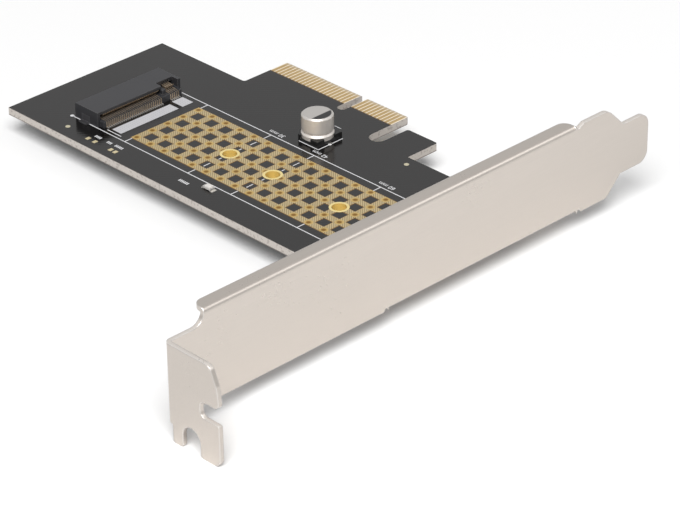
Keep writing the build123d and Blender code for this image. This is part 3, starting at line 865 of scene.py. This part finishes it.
drawn_piece("print_lines", line_outlines(), white_print)
drawn_piece("print_marks", mark_outlines(), white_print)
drawn_piece("print_fields", [rectangle(*field_long), rectangle(*field_short)], field_print)
for length, hole_y in zip(module_lengths, module_holes_y):
    number_piece(f"{length} mm", hole_y)


# Repeated print

def new_geometry_tree(name, inputs):
    tree = bpy.data.node_groups.new(name, "GeometryNodeTree")
    tree.interface.new_socket("Geometry", in_out="OUTPUT", socket_type="NodeSocketGeometry")
    for label, kind in inputs:
        tree.interface.new_socket(label, in_out="INPUT", socket_type=kind)
    return tree, node(tree, "NodeGroupInput"), node(tree, "NodeGroupOutput")


def grid_of_items():
    inputs = [
        ("Item", "NodeSocketObject"),
        ("Columns", "NodeSocketInt"),
        ("Rows", "NodeSocketInt"),
        ("Column pitch", "NodeSocketFloat"),
        ("Row pitch", "NodeSocketFloat"),
        ("Centre", "NodeSocketVector"),
        ("Material", "NodeSocketMaterial"),
    ]
    tree, group_input, made = new_geometry_tree("grid_of_items", inputs)
    given = group_input.outputs
    spans = []
    for count, pitch in (("Columns", "Column pitch"), ("Rows", "Row pitch")):
        steps = maths(tree, "SUBTRACT", given[count], 1.0)
        spans.append(maths(tree, "MULTIPLY", steps, given[pitch]))
    sizes = {
        "Size X": spans[0],
        "Size Y": spans[1],
        "Vertices X": given["Columns"],
        "Vertices Y": given["Rows"],
    }
    grid = node(tree, "GeometryNodeMeshGrid", sizes).outputs["Mesh"]
    move = {"Geometry": grid, "Translation": given["Centre"]}
    places = node(tree, "GeometryNodeTransform", move).outputs[0]
    item = node(tree, "GeometryNodeObjectInfo", {"Object": given["Item"]}).outputs["Geometry"]
    copies = node(tree, "GeometryNodeInstanceOnPoints", {"Points": places, "Instance": item}).outputs[0]
    whole = node(tree, "GeometryNodeRealizeInstances", {"Geometry": copies}).outputs[0]
    coat = {"Geometry": whole, "Material": given["Material"]}
    coloured = node(tree, "GeometryNodeSetMaterial", coat).outputs[0]
    tree.links.new(coloured, made.inputs[0])
    return tree


grid_tree = grid_of_items()


def repeated(name, item, columns, rows, pitches, centre, material):
    holder = linked_object(name, bpy.data.meshes.new(name))
    modifier = holder.modifiers.new(name, "NODES")
    modifier.node_group = grid_tree
    values = {
        "Item": item,
        "Columns": columns,
        "Rows": rows,
        "Column pitch": pitches[0] * MM,
        "Row pitch": pitches[1] * MM,
        "Centre": [value * MM for value in centre],
        "Material": material,
    }
    for socket in grid_tree.interface.items_tree:
        if socket.item_type == "SOCKET" and socket.in_out == "INPUT":
            modifier[socket.identifier] = values[socket.name]
    bpy.context.view_layer.update()
    mesh = plain_mesh(holder)
    holder.modifiers.clear()
    holder.data = mesh
    return holder


def repeated_print(name, outline, columns, rows, pitches, centre):
    vertices, faces = [], []
    add_prism(vertices, faces, outline, 0.0, print_thick)
    item = finished_piece(name + "_item", vertices, faces, white_print)
    piece = repeated(name, item, columns, rows, pitches, (*centre, board_top), white_print)
    bpy.data.objects.remove(item)
    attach(piece, "root")


tick = rectangle(-tick_length / 2, tick_length / 2, -line_width / 2, line_width / 2)
tick_spread = 2 * line_distance - tick_length - line_width
for index, row_y in enumerate((socket_tick_y, *module_holes_y)):
    repeated_print(f"print_ticks_{index}", tick, 2, 1, (tick_spread, 0), (module_axis_x, row_y))

for index, row_y in enumerate(island_rows):
    for kind, (length, spread) in island_kinds.items():
        island = rectangle(-length / 2, length / 2, -island_half_width, island_half_width)
        repeated_print(f"print_island_{kind}_{index}", island, 2, 1, (spread, 0), (module_axis_x, row_y))

bar = rectangle(-bar_half_length, bar_half_length, -bar_half_width, bar_half_width)
for name, (count, centre_x, centre_y) in bar_groups.items():
    repeated_print(f"print_bars_{name}", bar, 1, count, (0, bar_pitch), (centre_x, centre_y))


# Studio

def floor_material():
    material, tree, shader = start_material("pale_floor", Roughness=0.6)
    place = node(tree, "ShaderNodeTexCoord").outputs["Object"]
    feed(tree, shader, Base_Color=mix_colour(tree, noise(tree, place, scale=2.0), floor_dark, floor_pale))
    seen = node(tree, "ShaderNodeLightPath").outputs["Is Camera Ray"]
    glow = node(tree, "ShaderNodeEmission", {"Strength": maths(tree, "MULTIPLY", seen, floor_glow)})
    both = node(tree, "ShaderNodeAddShader", {0: shader.outputs[0], 1: glow.outputs[0]})
    tree.links.new(both.outputs[0], tree.nodes["Material Output"].inputs["Surface"])
    return material


def add_floor():
    height = cad_box[0][2] / MM
    corners = rectangle(-floor_half, floor_half, -floor_half, floor_half)
    floor = finished_piece("floor", [(x, y, height) for x, y in corners], [(0, 1, 2, 3)], floor_material())


def add_world():
    world = bpy.data.worlds.new("studio")
    bpy.context.scene.world = world
    world.use_nodes = True
    tree = world.node_tree
    background = tree.nodes["Background"]
    background.inputs["Color"].default_value = pure_white
    path = node(tree, "ShaderNodeLightPath")
    unseen = mix_value(tree, path.outputs["Is Glossy Ray"], sky_on_surfaces, sky_seen_in_metal)
    strength = mix_value(tree, path.outputs["Is Camera Ray"], unseen, 1.0)
    tree.links.new(strength, background.inputs["Strength"])


def add_lamp(name, place, size, power):
    lamp = bpy.data.lights.new(name, "AREA")
    lamp.shape = "DISK"
    lamp.size = size
    lamp.energy = power
    holder = linked_object(name, lamp)
    holder.location = place
    holder.rotation_euler = (Vector(lamp_target) - Vector(place)).to_track_quat("-Z", "Y").to_euler()


def add_camera():
    forward = Vector(camera_forward).normalized()
    right = Vector(camera_right)
    right = (right - forward * right.dot(forward)).normalized()
    up = right.cross(forward)
    turn = Matrix((right, up, -forward)).transposed().to_4x4()
    camera = bpy.data.cameras.new("camera")
    camera.sensor_fit = "HORIZONTAL"
    camera.sensor_width = camera_sensor
    camera.lens = camera_lens
    camera.clip_start = 0.01
    holder = linked_object("camera", camera)
    holder.matrix_world = Matrix.Translation(Vector(camera_place) * MM) @ turn
    bpy.context.scene.camera = holder


add_floor()
add_world()
for name, values in lamps.items():
    add_lamp(name, **values)
add_camera()
bpy.context.scene.view_settings.view_transform = "Standard"
